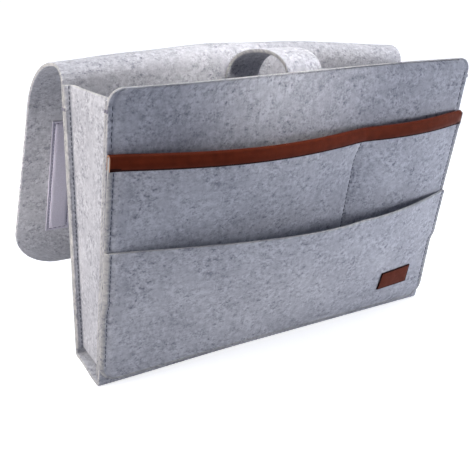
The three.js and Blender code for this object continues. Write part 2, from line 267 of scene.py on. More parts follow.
def bent_line(start, heading, runs, station):
    """Place and heading on a line of (length, turn) runs; station 2.5 is halfway along the third."""
    place = Vector(start)
    for index, (run, turn) in enumerate(runs):
        done = min(max(station - index, 0), 1)
        swept = turn * done
        chord = 2 * run / turn * math.sin(swept / 2) if turn else run * done
        middle = heading + swept / 2
        place += Vector((math.cos(middle), math.sin(middle))) * chord
        heading += swept
    return place, heading


def slab(across, along, place):
    """A closed sheet: a grid with a second side pulled from it, each point put in place.

    Its faces have material 0, its rims 1 at the sides and 2 at the ends. Its UVs lie as it was cut.
    """
    shell = bmesh.new()
    columns = len(across) - 1
    rows = len(along) - 1
    bmesh.ops.create_grid(shell, x_segments=columns, y_segments=rows, size=0.5)
    pulled = bmesh.ops.extrude_face_region(shell, geom=shell.faces[:])
    second_side = [v for v in pulled["geom"] if isinstance(v, bmesh.types.BMVert)]
    bmesh.ops.translate(shell, verts=second_side, vec=(0, 0, 1))
    mapping = shell.loops.layers.uv.new("cut")
    for face in shell.faces:
        sides = {round(v.co.z) for v in face.verts}
        at_side = len({round(v.co.x * columns) for v in face.verts}) == 1
        face.material_index = 0 if len(sides) == 1 else (1 if at_side else 2)
        face.smooth = True
    stations = {}
    for vertex in shell.verts:
        column = round((vertex.co.x + 0.5) * columns)
        row = round((vertex.co.y + 0.5) * rows)
        stations[vertex] = (across[column], along[row], round(vertex.co.z))
    for vertex, (x, y, side) in stations.items():
        vertex.co = place(x, y, side)
    run = {along[0]: 0.0}
    middle = across[columns // 2]
    for first, last in zip(along, along[1:]):
        run[last] = run[first] + (place(middle, last, 0) - place(middle, first, 0)).length
    for face in shell.faces:
        for loop in face.loops:
            x, y, side = stations[loop.vert]
            loop[mapping].uv = (x + side * FELT, run[y] + side * FELT)
    bmesh.ops.recalc_face_normals(shell, faces=shell.faces[:])
    return shell


def soften_rim(shell, radius, segments=2):
    """Rounds the long edges of a sheet's cut rim."""
    rim = [e for e in shell.edges if len({bool(f.material_index) for f in e.link_faces}) == 2]
    bmesh.ops.bevel(shell, geom=rim, offset=radius, offset_type="OFFSET", affect="EDGES",
                    segments=segments, profile=0.5, material=-1)
    for face in shell.faces:
        face.smooth = True


def widen(shell, index):
    """Gives one row of a sheet's faces next to a rim the rim's material."""
    rim = {vertex for face in shell.faces if face.material_index == index for vertex in face.verts}
    for face in shell.faces:
        if not face.material_index and rim.intersection(face.verts):
            face.material_index = index


def finish_piece(name, shell, materials):
    """Makes the finished mesh an object with its materials."""
    mesh = bpy.data.meshes.new(name)
    shell.to_mesh(mesh)
    shell.free()
    for material in materials:
        mesh.materials.append(material)
    piece = bpy.data.objects.new(name, mesh)
    bpy.context.scene.collection.objects.link(piece)
    return piece


def settle(shell, body):
    """Lets the soft bag stand: its lower left corner pushed out, its right end drawn up and aside.

    Each shift grows between two places along an axis.
    """
    half = body.width / 2
    top = 250 * MM
    for vertex in shell.verts:
        x, y, z = vertex.co
        corner = smooth(-x, 40 * MM, half) * smooth(-y, -28 * MM, 28 * MM) * (1 - min(z / body.ridge, 1))
        # Near the top edge, the pull on the right end starts further left.
        near_top = smooth(z, 200 * MM, top)
        drawn = smooth(x, (60 - 220 * near_top) * MM, half - 60 * near_top * MM)
        drawn *= smooth(-y, 10 * MM, 50 * MM) * smooth(z, 110 * MM, top)
        aside = smooth(x, 0, half) * smooth(z, 50 * MM, top)
        pushed = body.splay * corner
        vertex.co += Vector((body.sway * aside - pushed, -0.8 * pushed, body.stretch * drawn))


# Places on the bag

def lean(body):
    """Angle of the front from upright."""
    return math.atan(body.mouth_run / body.front_height)


def front_point(body, x, height, out):
    """A place at a height up the leaning front and a distance out from its face."""
    slope = lean(body)
    y = -body.base_depth / 2 - height * math.sin(slope) - out * math.cos(slope)
    return Vector((x, y, height * math.cos(slope) - out * math.sin(slope)))


def front_inner(body, z):
    """Where the front's inner face is at a height."""
    slope = lean(body)
    return -body.base_depth / 2 - z * math.tan(slope) + body.felt / math.cos(slope)


def strip_runs(body):
    """Start, heading and runs of the folded strip's middle layer."""
    slope = lean(body)
    outer = body.fold + body.felt
    folded = body.fold + body.felt / 2
    reach = outer * math.tan((math.pi / 2 - slope) / 2)
    front = body.front_height / math.cos(slope)
    top = front_point(body, 0, front, -body.felt / 2)
    bend = body.bend - body.felt / 2
    shoulder = body.flap_curve - body.felt / 2
    over = math.pi / 2 - body.flap_splay
    runs = [
        (front - reach, 0),
        (folded * (math.pi / 2 - slope), math.pi / 2 - slope),
        (body.base_depth - reach - outer, 0),
        (folded * math.pi / 2, math.pi / 2),
        (body.ridge - body.bend - outer, 0),
        (bend * math.pi / 2, -math.pi / 2),
        (shoulder * over, -over),
        (body.flap_drop, 0),
    ]
    return (top.y, top.z), slope - math.pi / 2, runs


def bow(x, left, right, peak):
    """How far a pocket stands out between its seams, from 0 to 1, fullest at the peak."""
    along = min(max((x - left) / (right - left), 0), 1)
    return math.sin(math.pi * along ** (math.log(0.5) / math.log(peak)))


def divider_at(body, pockets):
    """X of the divider seam."""
    return pockets.divider - body.width / 2


def pocket_felt(body, pockets, x):
    """Thickness of a pocket layer, which is skived along its raw side edges."""
    free = smooth(body.width / 2 - abs(x), -1 * MM, pockets.margin)
    left = pockets.left_edge if x < 0 else pockets.right_edge
    return body.felt * (left + (1 - left) * free)


def mouth_bow(body, pockets, x):
    """How far the mid pocket's mouth bows out: as a whole, fullest at the divider, and in its two parts."""
    edge = body.width / 2 - pockets.seam
    split = divider_at(body, pockets)
    whole = pockets.divider_bow * bow(x, -edge, edge, (split + edge) / (2 * edge))
    left = pockets.left_bow * bow(x, -edge, split, pockets.left_peak)
    return whole + left + pockets.pen_bow * bow(x, split, edge, pockets.pen_peak)


def mid_stand(body, pockets, x, height):
    """Distance from the front to the mid pocket's inner side, drawn in at the divider below the binding."""
    beside = mouth_bow(body, pockets, x - pockets.ease) + mouth_bow(body, pockets, x + pockets.ease)
    drawn_in = dent(x - divider_at(body, pockets), pockets.valley, pockets.valley_reach)
    drawn_in *= 1 - smooth(height, 165 * MM, 192 * MM)
    fullness = (beside + 2 * mouth_bow(body, pockets, x)) / 4 * (1 - drawn_in)
    lift = smooth(height, pockets.cross_seam, pockets.mid_mouth)
    return body.gap + lift * (pockets.leather + body.gap + fullness)


def low_stand(body, pockets, x, height):
    """Distance from the front to the low pocket's inner side, which steps over the mid pocket's end."""
    edge = body.width / 2 - pockets.seam
    rise = min(max((height - pockets.bottom) / (pockets.low_mouth - pockets.bottom), 0), 1)
    lift = rise * (1 + pockets.low_belly * (1 - rise))
    fullness = pockets.low_bow * bow(x, -edge, edge, pockets.low_peak)
    # The step is shorter beside the side seams.
    inside = smooth(body.width / 2 - abs(x), pockets.seam, 6 * pockets.seam)
    step = pockets.mid_step * (0.6 + 0.4 * inside)
    over_mid = smooth(height, pockets.mid_bottom - step, pockets.mid_bottom)
    layer = mid_stand(body, pockets, x, height) + pocket_felt(body, pockets, x)
    return body.gap + over_mid * layer + lift * fullness


# Materials

def linear(code):
    """An sRGB hex colour as linear RGBA."""
    values = [int(code[i:i + 2], 16) / 255 for i in (1, 3, 5)]
    return [v / 12.92 if v <= 0.04045 else ((v + 0.055) / 1.055) ** 2.4 for v in values] + [1]


def deepened(code, share):
    """An sRGB hex colour as linear RGBA, with only a share of its light."""
    return [value * share for value in linear(code)[:3]] + [1]


def wire(tree, node, inputs):
    """Sets a node's inputs, each from a value, an output or another node's first output."""
    for name, value in inputs.items():
        if isinstance(value, bpy.types.Node):
            value = value.outputs[0]
        if isinstance(value, bpy.types.NodeSocket):
            tree.links.new(value, node.inputs[name])
        else:
            node.inputs[name].default_value = value


def add(tree, kind, inputs=None, **settings):
    """Adds a node with its settings and its inputs."""
    node = tree.nodes.new(kind)
    for name, value in settings.items():
        setattr(node, name, value)
    wire(tree, node, inputs or {})
    return node


def new_material(name):
    """An empty material with its output and its surface shader."""
    material = bpy.data.materials.new(name)
    material.use_nodes = True
    tree = material.node_tree
    tree.nodes.clear()
    surface = add(tree, "ShaderNodeBsdfPrincipled")
    add(tree, "ShaderNodeOutputMaterial", {"Surface": surface})
    return material, tree, surface


def needle_felt(name, light, dark):
    """Needle-punched melange felt: pale wool with clots of dark fibre, matt, with a soft halo of hairs."""
    material, tree, surface = new_material(name)
    cut = add(tree, "ShaderNodeUVMap", uv_map="cut")
    # Single fibres are about 0.04 mm wide: what shows is how they clot, in spots of a few millimetres.
    sizes = {
        "specks": (1.7 * MM, 2, 0.6), "spots": (4.5 * MM, 3, 0.6), "blots": (10 * MM, 2, 0.6),
        "clots": (2.8 * MM, 1, 0.5), "crowds": (17 * MM, 2, 0.6), "clouds": (45 * MM, 2, 0.6),
        "nap": (1.5 * MM, 3, 0.65)}
    patterns = {}
    for pattern, (size, detail, roughness) in sizes.items():
        patterns[pattern] = add(tree, "ShaderNodeTexNoise", {
            "Vector": cut, "Scale": 1 / size, "Detail": detail, "Roughness": roughness})
    ranges = {
        "clots": (0.58, 0.74, 0, 0.4), "crowds": (0.34, 0.64, 0.4, 1.5), "clouds": (0.25, 0.75, 0.5, 0.86)}
    shares = {}
    for pattern, (low, high, least, most) in ranges.items():
        shares[pattern] = add(tree, "ShaderNodeMapRange", {
            "Value": patterns[pattern], "From Min": low, "From Max": high, "To Min": least, "To Max": most})
    tone = 0.0
    for pattern, weight in (("specks", 1.1), ("spots", 1.7), ("blots", 0.6)):
        even = add(tree, "ShaderNodeMath", {0: patterns[pattern], 1: 0.5}, operation="SUBTRACT")
        tone = add(tree, "ShaderNodeMath", {0: even, 1: weight, 2: tone}, operation="MULTIPLY_ADD")
    tone = add(tree, "ShaderNodeMath", {0: tone, 1: shares["clots"]}, operation="SUBTRACT")
    tone = add(tree, "ShaderNodeMath", {0: tone, 1: shares["crowds"], 2: shares["clouds"]},
               operation="MULTIPLY_ADD", use_clamp=True)
    mixed = add(tree, "ShaderNodeMix", {0: tone, MIX_FROM: linear(dark), MIX_TO: linear(light)},
                data_type="RGBA")
    hairs = add(tree, "ShaderNodeBump", {"Height": patterns["nap"], "Strength": 0.5, "Distance": 0.5 * MM})
    wire(tree, surface, {
        "Base Color": mixed.outputs[MIXED], "Normal": hairs, "Roughness": 0.95, "Specular IOR Level": 0.15,
        "Sheen Weight": 0.2, "Sheen Roughness": 0.6})
    return material


def smooth_leather(finish):
    """Split leather with a pressed, semi-matt brown face: fine pores, uneven dye, soft highlights."""
    material, tree, surface = new_material("brown_leather")
    cut = add(tree, "ShaderNodeUVMap", uv_map="cut")
    pores = add(tree, "ShaderNodeTexVoronoi", {"Vector": cut, "Scale": 1 / (0.9 * MM)})
    dye = add(tree, "ShaderNodeTexNoise", {
        "Vector": cut, "Scale": 1 / (7 * MM), "Detail": 4, "Roughness": 0.6})
    dyed = add(tree, "ShaderNodeMapRange", {
        "Value": dye, "From Min": 0.3, "From Max": 0.75, "To Min": 0, "To Max": 0.4})
    polish = add(tree, "ShaderNodeMapRange", {
        "Value": dye, "From Min": 0.3, "From Max": 0.7, "To Min": 0.42, "To Max": 0.56})
    face = add(tree, "ShaderNodeMix", {
        0: dyed, MIX_FROM: linear(finish.leather), MIX_TO: linear(finish.leather_dark)}, data_type="RGBA")
    grain = add(tree, "ShaderNodeBump", {"Height": pores, "Strength": 0.25, "Distance": 0.3 * MM})
    wire(tree, surface, {
        "Base Color": face.outputs[MIXED], "Normal": grain, "Roughness": polish, "Specular IOR Level": 0.06,
        "Specular Tint": linear("#ffcfae")})
    return material


def leather_edge(name, code):
    """Edge of cut leather: fibrous and matt, raw tan where it is bare and dark where it is painted."""
    material, tree, surface = new_material(name)
    cut = add(tree, "ShaderNodeUVMap", uv_map="cut")
    fibres = add(tree, "ShaderNodeTexNoise", {"Vector": cut, "Scale": 1 / (1.2 * MM), "Detail": 3})
    mixed = add(tree, "ShaderNodeMix", {0: fibres, MIX_FROM: deepened(code, 0.6), MIX_TO: linear(code)},
                data_type="RGBA")
    wire(tree, surface, {"Base Color": mixed.outputs[MIXED], "Roughness": 0.8, "Specular IOR Level": 0.1})
    return material


def hook_tape(code):
    """Woven nylon hook and loop tape: fine rows of loops over a ribbed ground, painted shade between the
    loops, a dull sheen.
    """
    material, tree, surface = new_material("hook_and_loop_tape")
    cut = add(tree, "ShaderNodeUVMap", uv_map="cut")
    loops = add(tree, "ShaderNodeTexVoronoi", {
        "Vector": cut, "Scale": 1 / (1.1 * MM), "Randomness": 0.45})
    ribs = add(tree, "ShaderNodeTexWave", {
        "Vector": cut, "Scale": 1 / (2.2 * MM), "Distortion": 1.5, "Detail": 1}, bands_direction="Y")
    # Painted shade: the colour darkens away from each loop's middle, where the ground lies low; the same
    # pattern lifts the loops in the bump.
    shade = add(tree, "ShaderNodeMapRange", {
        "Value": loops, "From Min": 0.1, "From Max": 0.6, "To Min": 1, "To Max": 0.25})
    mixed = add(tree, "ShaderNodeMix", {0: shade, MIX_FROM: deepened(code, 0.72), MIX_TO: linear(code)},
                data_type="RGBA")
    height = add(tree, "ShaderNodeMath", {0: shade, 1: ribs.outputs["Fac"]}, operation="ADD")
    pile = add(tree, "ShaderNodeBump", {"Height": height, "Strength": 0.5, "Distance": 0.4 * MM})
    wire(tree, surface, {
        "Base Color": mixed.outputs[MIXED], "Normal": pile, "Roughness": 0.75, "Sheen Weight": 0.2})
    return material


def sewing_thread(name, code):
    """Twisted polyester thread: dull, with fine slanting plies."""
    material, tree, surface = new_material(name)
    where = add(tree, "ShaderNodeTexCoord").outputs["Object"]
    plies = add(tree, "ShaderNodeTexNoise", {"Vector": where, "Scale": 1 / (0.8 * MM), "Detail": 1})
    mixed = add(tree, "ShaderNodeMix", {0: plies, MIX_FROM: deepened(code, 0.6), MIX_TO: linear(code)},
                data_type="RGBA")
    wire(tree, surface, {"Base Color": mixed.outputs[MIXED], "Roughness": 0.7})
    return material


# Pieces

def felt_piece(name, shell, body):
    """Settles a felt sheet, and makes it an object with the felt's face and its raw cut edges."""
    settle(shell, body)
    if "needle_felt" not in bpy.data.materials:
        finish = bpy.context.scene.caddy_finish
        needle_felt("needle_felt", finish.felt_light, finish.felt_dark)
        needle_felt("needle_felt_cut", finish.felt_cut, finish.felt_dark)
    raw = bpy.data.materials["needle_felt_cut"]
    return finish_piece(name, shell, [bpy.data.materials["needle_felt"], raw, raw])


class CADDY_OT_strip(bpy.types.Operator):
    """Fold the felt strip of front, base, back and flap"""
    bl_idname = "caddy.strip"
    bl_label = "Felt strip"

    def execute(self, context):
        body, pockets = groups(context, "body", "pockets")
        start, heading, runs = strip_runs(body)
        half = body.width / 2
        front_run = runs[FRONT][0]
        stitched = half - pockets.stitched
        across = spaced([-half] + seam_marks(-stitched) + seam_marks(stitched) + [half], 6 * MM)
        tops = [mark / front_run for mark in corner_marks(body.front_corner)]
        ends = [FLAP_END - mark / body.flap_drop for mark in reversed(corner_marks(body.flap_corner, 12))]
        along = spaced(tops + [FRONT_FOLD - 0.02], 0.025)
        along += stretches(
            (FRONT_FOLD, BASE, 0.25), (BASE + 0.1, BACK_FOLD - 0.1, 0.1), (BACK_FOLD, BACK, 0.25),
            (BACK + 0.02, BEND - 0.02, 0.03), (BEND, SHOULDER, 0.1), (SHOULDER + 0.05, FLAP - 0.02, 0.06))
        along += spaced([FLAP] + ends, 0.03)

        def place(x, station, side):
            centre, direction = bent_line(start, heading, runs, station)
            cut = max(corner_cut(station * front_run, body.front_corner),
                      corner_cut((FLAP_END - station) * body.flap_drop, body.flap_corner))
            across_at = x * (half - cut) / half
            outward = Vector((math.sin(direction), -math.cos(direction)))
            sewn = 1 - smooth(station, FRONT_FOLD - 0.04, FRONT_FOLD - 0.02)
            back_sewn = smooth(station, BACK + 0.02, BACK + 0.06)
            sewn += back_sewn * (1 - smooth(station, BEND - 0.1, BEND - 0.06))
            press = dent(abs(x) - stitched, pockets.groove, pockets.groove_reach) * sewn
            point = centre + outward * (body.felt * (side - 0.5) - side * press)
            # The ridge's middle rises, and its ends sink by nearly as much.
            crest = smooth(station, BEND - 0.4, BEND + 0.6)
            crest *= 1 - smooth(station, SHOULDER + 0.2, FLAP + 0.4)
            rise = body.ridge_rise * crest * (math.cos(0.95 * math.pi * x / body.width) - 0.48)
            wave = ripple(Vector((across_at, station * 90 * MM, 0)), 70 * MM, 1.6 * MM)
            wave *= smooth(station, BACK + 0.2, SHOULDER + 0.5)
            return Vector((across_at, point.x, point.y + rise + wave))

        shell = slab(across, along, place)
        soften_rim(shell, 1.1 * MM, 3)
        strip = felt_piece("felt_strip", shell, body)
        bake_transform(strip)
        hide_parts("front_panel", "base_panel", "back_panel", "flap_panel")
        sum(run for run, turn in runs)
        return {"FINISHED"}


class CADDY_OT_gussets(bpy.types.Operator):
    """Bend the two wedge gussets with their seam flanges"""
    bl_idname = "caddy.gussets"
    bl_label = "Gussets"

    def execute(self, context):
        body = context.scene.caddy_body
        half = body.width / 2
        bend = body.gusset_bend + body.felt / 2
        flat = body.flange + body.felt / 2 - bend
        rear = back_low.y - body.gap - body.felt / 2
        up = spaced([body.gusset_bottom, body.gusset_top], 8 * MM)
        # The runs are front flange, bend, wall, bend and rear flange.
        along = stretches((0, 1, 0.25), (1.2, 2, 0.2), (2.1, 2.95, 0.1), (3, 4, 0.2), (4.25, 5, 0.25))
        for side_name, turn in (("left", -1), ("right", 1)):
            def place(z, station, face):
                front = front_inner(body, z) + body.gap + body.felt / 2
                depth = rear - front - 2 * bend
                corner = (bend * math.pi / 2, math.pi / 2)
                runs = [(flat, 0), corner, (depth, 0), corner, (flat, 0)]
                centre, heading = bent_line((-half, front), 0, runs, station)
                outside = Vector((-math.sin(heading), math.cos(heading)))
                point = centre + outside * body.felt * (face - 0.5)
                wall = smooth(station, 1.8, 2.4) * (1 - smooth(station, 2.6, 3.2))
                wave = ripple(Vector((turn * 3, point.y, z)), 60 * MM, 1.8 * MM) * wall
                return Vector((-turn * (point.x + wave), point.y, z))

            shell = slab(up, along, place)
            soften_rim(shell, 1.1 * MM, 3)
            gusset = felt_piece(f"{side_name}_gusset_felt", shell, body)
            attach(gusset, "bag")
            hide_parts(f"{side_name}_gusset")
        return {"FINISHED"}


class CADDY_OT_pockets(bpy.types.Operator):
    """Lay the two pocket layers over the front, with their bowed mouths"""
    bl_idname = "caddy.pockets"
    bl_label = "Pockets"

    def execute(self, context):
        body, pockets = groups(context, "body", "pockets")
        half = body.width / 2
        seam = half - pockets.stitched
        split = divider_at(body, pockets)
        groove = pockets.groove
        reach = pockets.groove_reach
        across = spaced([-half] + seam_marks(-seam) + seam_marks(split) + seam_marks(seam) + [half], 5 * MM)
        # The felt's edge has some room inside the binding's fold.
        slack = 0.6 * MM
        mid_top = pockets.mid_mouth - pockets.leather - body.gap - slack
        trim_bottom = mid_top - pockets.trim

        def mid_place(x, height, side):
            bound = smooth(height, trim_bottom - 3 * MM, trim_bottom + 2 * MM)
            skived = pocket_felt(body, pockets, x)
            out = mid_stand(body, pockets, x, height) + side * (skived + (body.felt - skived) * bound)
            sewn = smooth(height, pockets.cross_seam, pockets.cross_seam + 15 * MM)
            press = dent(abs(x) - seam, groove, reach) + dent(x - split, groove, reach) * sewn
            press += dent(height - pockets.cross_seam, groove, 1.6 * MM)
            return front_point(body, x, height, out - side * press)

        up = spaced([pockets.mid_bottom] + seam_marks(pockets.cross_seam) + [mid_top], 5 * MM)
        shell = slab(across, up, mid_place)
        self.bare_margins(shell, pockets.margin, lambda at: half - abs(at.x))
        mid = felt_piece("mid_pocket_felt", shell, body)
        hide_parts("mid_pocket")

        def low_place(x, height, side):
            press = dent(abs(x) - seam, groove, reach)
            press += dent(height - pockets.bottom - 4 * MM, 0.5 * MM, reach)
            layer = pocket_felt(body, pockets, x) - press
            x *= 1 - corner_cut(height - pockets.bottom, pockets.low_corner) / half
            return front_point(body, x, height, low_stand(body, pockets, x, height) + side * layer)

        def low_edge(at):
            above = max(at.z - pockets.bottom, 0)
            return min(half - corner_cut(above, pockets.low_corner) - abs(at.x), 2 * above)

        lower = [pockets.bottom + mark for mark in corner_marks(pockets.low_corner)]
        shell = slab(across, spaced(lower + [pockets.low_mouth], 4 * MM), low_place)
        self.bare_margins(shell, pockets.margin, low_edge)
        low = felt_piece("low_pocket_felt", shell, body)
        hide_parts("low_pocket")
        for pocket in (mid, low):
            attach(pocket, "bag")
        return {"FINISHED"}

    def bare_margins(self, shell, margin, edge):
        """Rounds the raw edges, and shows cut felt along them, by a place's distance to its edge."""
        soften_rim(shell, 0.3 * MM)
        for face in shell.faces:
            if edge(face.calc_center_median()) < margin:
                face.material_index = 1


class CADDY_OT_leather(bpy.types.Operator):
    """Fold the leather binding over the mid pocket's edge and set the patch on the low pocket"""
    bl_idname = "caddy.leather"
    bl_label = "Leather"

    def execute(self, context):
        body, pockets, finish = groups(context, "body", "pockets", "finish")
        half = body.width / 2
        leather = smooth_leather(finish)
        tan = leather_edge("tan_cut_leather", finish.leather_cut)
        painted = leather_edge("painted_leather_edge", finish.leather_dark)
        across = [-half] + seam_marks(divider_at(body, pockets)) + [half - pockets.trim_short]
        bottom = pockets.mid_mouth - pockets.trim
        inner = body.felt / 2
        crown = pockets.mid_mouth - inner - body.gap - pockets.leather

        def trim_place(x, station, face):
            # The runs are the side behind the felt, the fold over its edge and the face in front.
            skin = inner + body.gap + pockets.leather * face
            turn = math.pi * min(max(station - 1, 0), 1)
            if station <= 1:
                height = bottom + (crown - bottom) * station
            elif station < 2:
                height = crown + skin * math.sin(turn)
            else:
                height = crown + (bottom - crown) * (station - 2)
            stand = mid_stand(body, pockets, x, min(height, pockets.mid_mouth))
            free = smooth(half - abs(x), 0, 12 * MM)
            swell = pockets.trim_swell * math.sin(math.pi * min(max(station - 2, 0), 1)) * face * free
            return front_point(body, x, height, stand + inner - skin * math.cos(turn) + swell)

        along = stretches((0, 1, 0.25), (1.1, 1.9, 0.1), (2, 3, 0.1))
        shell = slab(spaced(across, 4 * MM), along, trim_place)
        soften_rim(shell, 0.35 * MM)
        # The binding's lower edges, with about a millimetre of face above them, take the dark edge colour.
        for _ in range(3):
            widen(shell, 2)
        settle(shell, body)
        trim = finish_piece("pocket_binding", shell, [leather, tan, painted])
        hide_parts("pocket_trim")

        border = 1 * MM
        right = half - pockets.patch_inset + pockets.patch_width / 2
        left = right - pockets.patch_width
        low = pockets.patch_centre - pockets.patch_height / 2
        top = low + pockets.patch_height

        def patch_place(x, height, face):
            edge = min(x - left, right - x, height - low, top - height)
            crown = 0.4 * MM * smooth(edge, border, 4 * MM) - 0.1 * MM * (edge < 0.1 * MM)
            out = low_stand(body, pockets, x, height) + pocket_felt(body, pockets, x) + body.gap
            return front_point(body, x, height, out + face * (pockets.leather + crown))

        wide = spaced([left, left + border, right - border, right], 2 * MM)
        tall = spaced([low, low + border, top - border, top], 2 * MM)
        shell = slab(wide, tall, patch_place)
        for index in (1, 2):
            widen(shell, index)
        settle(shell, body)
        patch = finish_piece("bare_patch", shell, [leather, painted, painted])
        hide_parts("leather_patch")
        for piece in (trim, patch):
            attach(piece, "bag")
        return {"FINISHED"}


class CADDY_OT_strap(bpy.types.Operator):
    """Arch the felt strap over the mouth, from the back's inside to the front's"""
    bl_idname = "caddy.strap"
    bl_label = "Strap"

    def execute(self, context):
        body = context.scene.caddy_body
        slope = lean(body)
        half_felt = body.felt / 2
        back_top = Vector((0, back_low.y - body.gap - half_felt, body.strap_back))
        front_y = front_inner(body, body.strap_front) + (body.gap + half_felt) / math.cos(slope)
        front_top = Vector((0, front_y, body.strap_front))
        up_front = Vector((0, -math.sin(slope), math.cos(slope)))
        crown = body.strap_rise - half_felt
        # A Bezier arch rises by three quarters of its handles.
        back_pull = Vector((0, 0, 4 / 3 * (crown - body.strap_back)))
        front_pull = up_front * 4 / 3 * (crown - body.strap_front)
        arch = interpolate_bezier(back_top, back_top + back_pull, front_top + front_pull, front_top, 33)
        feet = [body.strap_foot * i / 4 for i in range(4, 0, -1)]
        middle = [back_top - Vector((0, 0, drop)) for drop in feet] + list(arch)
        middle += [front_top - up_front * drop for drop in reversed(feet)]

        def place(x, index, side):
            before = middle[max(index - 1, 0)]
            after = middle[min(index + 1, len(middle) - 1)]
            along = (after - before).normalized()
            outside = Vector((0, along.z, -along.y))
            point = middle[index] + outside * body.felt * (side - 0.5)
            towards_front = 0.5 - (point.y - front_top.y) / (back_top.y - front_top.y)
            return Vector((x + body.strap_skew * towards_front, point.y, point.z))

        left = -body.strap_offset - body.strap_width / 2
        across = spaced([left, left + body.strap_width], 3 * MM)
        shell = slab(across, list(range(len(middle))), place)
        soften_rim(shell, 0.5 * MM)
        strap = felt_piece("mouth_strap", shell, body)
        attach(strap, "bag")
        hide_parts("closing_strap")
        run = sum((last - first).length for first, last in zip(middle, middle[1:]))
        return {"FINISHED"}


def flap_point(body, tapes, x, drop, out):
    """A place on a flap's tape: a distance down the flap and a distance in from its inner face."""
    start, heading, runs = strip_runs(body)
    x += math.copysign(tapes.slant, x) * (1 - (drop - tapes.flap_start) / tapes.length)
    centre, direction = bent_line(start, heading, runs, FLAP + drop / body.flap_drop)
    inward = Vector((math.sin(direction), -math.cos(direction)))
    point = centre + inward * (body.felt / 2 + out)
    return Vector((x, point.x, point.y))


def back_point(body, x, height, out):
    """A place on the back's rear face at a height, and a distance out from it."""
    return Vector((x, body.base_depth / 2 + out, height))


def tape_seats(body, tapes):
    """For the tapes of the flap and the back: their carrier, surface, start along it and normal."""
    start, heading, runs = strip_runs(body)
    _, direction = bent_line(start, heading, runs, FLAP + 0.5)
    inward = Vector((0, math.sin(direction), -math.cos(direction)))
    return {"flap": ("flap", partial(flap_point, body, tapes), tapes.flap_start, inward),
            "back": ("bag", partial(back_point, body), tapes.back_top - tapes.length, Vector((0, 1, 0)))}


def tape_middles(body, tapes):
    """X of the left and the right tapes' middles."""
    middle = body.width / 2 - tapes.inset - tapes.width / 2
    return {"left": -middle, "right": middle}


class CADDY_OT_tapes(bpy.types.Operator):
    """Sew the hook and loop tapes to the flap and the back"""
    bl_idname = "caddy.tapes"
    bl_label = "Tapes"

    def execute(self, context):
        body, tapes, finish = groups(context, "body", "tapes", "finish")
        woven = hook_tape(finish.tape)
        # Stations from a tape's edge, close together beside its stitches.
        marks = [offset * MM for offset in (0, 1.2, 1.8, 2.4, 3, 3.9)]
        for part, (carrier, surface, first, _) in tape_seats(body, tapes).items():
            for side_name, centre in tape_middles(body, tapes).items():
                left = centre - tapes.width / 2
                right = centre + tapes.width / 2
                last = first + tapes.length

                def place(x, y, face):
                    edge = min(x - left, right - x, y - first, last - y)
                    press = dent(edge - tapes.border, 0.6 * MM, 0.9 * MM)
                    full = smooth(edge, tapes.border, tapes.border + 1.5 * MM)
                    pile = tapes.thickness * (tapes.border_pile + (1 - tapes.border_pile) * full)
                    return surface(x, y, body.gap + face * (pile - press))

                wide = [left + mark for mark in marks] + [right - mark for mark in reversed(marks)]
                tall = [first + mark for mark in marks] + [last - mark for mark in reversed(marks)]
                shell = slab(spaced(wide, 3 * MM), spaced(tall, 3 * MM), place)
                soften_rim(shell, 0.3 * MM)
                if carrier == "bag":
                    settle(shell, body)
                tape = finish_piece(f"{side_name}_{part}_hook_tape", shell, [woven, woven, woven])
                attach(tape, carrier)
                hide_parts(f"{side_name}_{part}_tape")
        return {"FINISHED"}


def sew(shell, tapes, line, run):
    """Adds a row of stitches along a line, a function from a distance to a place and its normal."""
    row = bmesh.new()
    count = int(run // tapes.pitch)
    for i in range(count):
        at = (i + 0.5) * run / count
        first, normal = line(at - tapes.stitch / 2)
        last, _ = line(at + tapes.stitch / 2)
        along = (last - first).normalized()
        across = normal.cross(along).normalized()
        turn = Matrix((along, across, along.cross(across))).transposed().to_4x4()
        scale = Matrix.Diagonal((tapes.stitch / 2, tapes.thread / 2, tapes.thread / 2, 1))
        place = Matrix.Translation((first + last) / 2 + normal * tapes.thread * 0.2)
        bmesh.ops.create_uvsphere(row, u_segments=6, v_segments=4, radius=1, matrix=place @ turn @ scale)
    mesh = bpy.data.meshes.new("row")
    row.to_mesh(mesh)
    row.free()
    shell.from_mesh(mesh)
    bpy.data.meshes.remove(mesh)


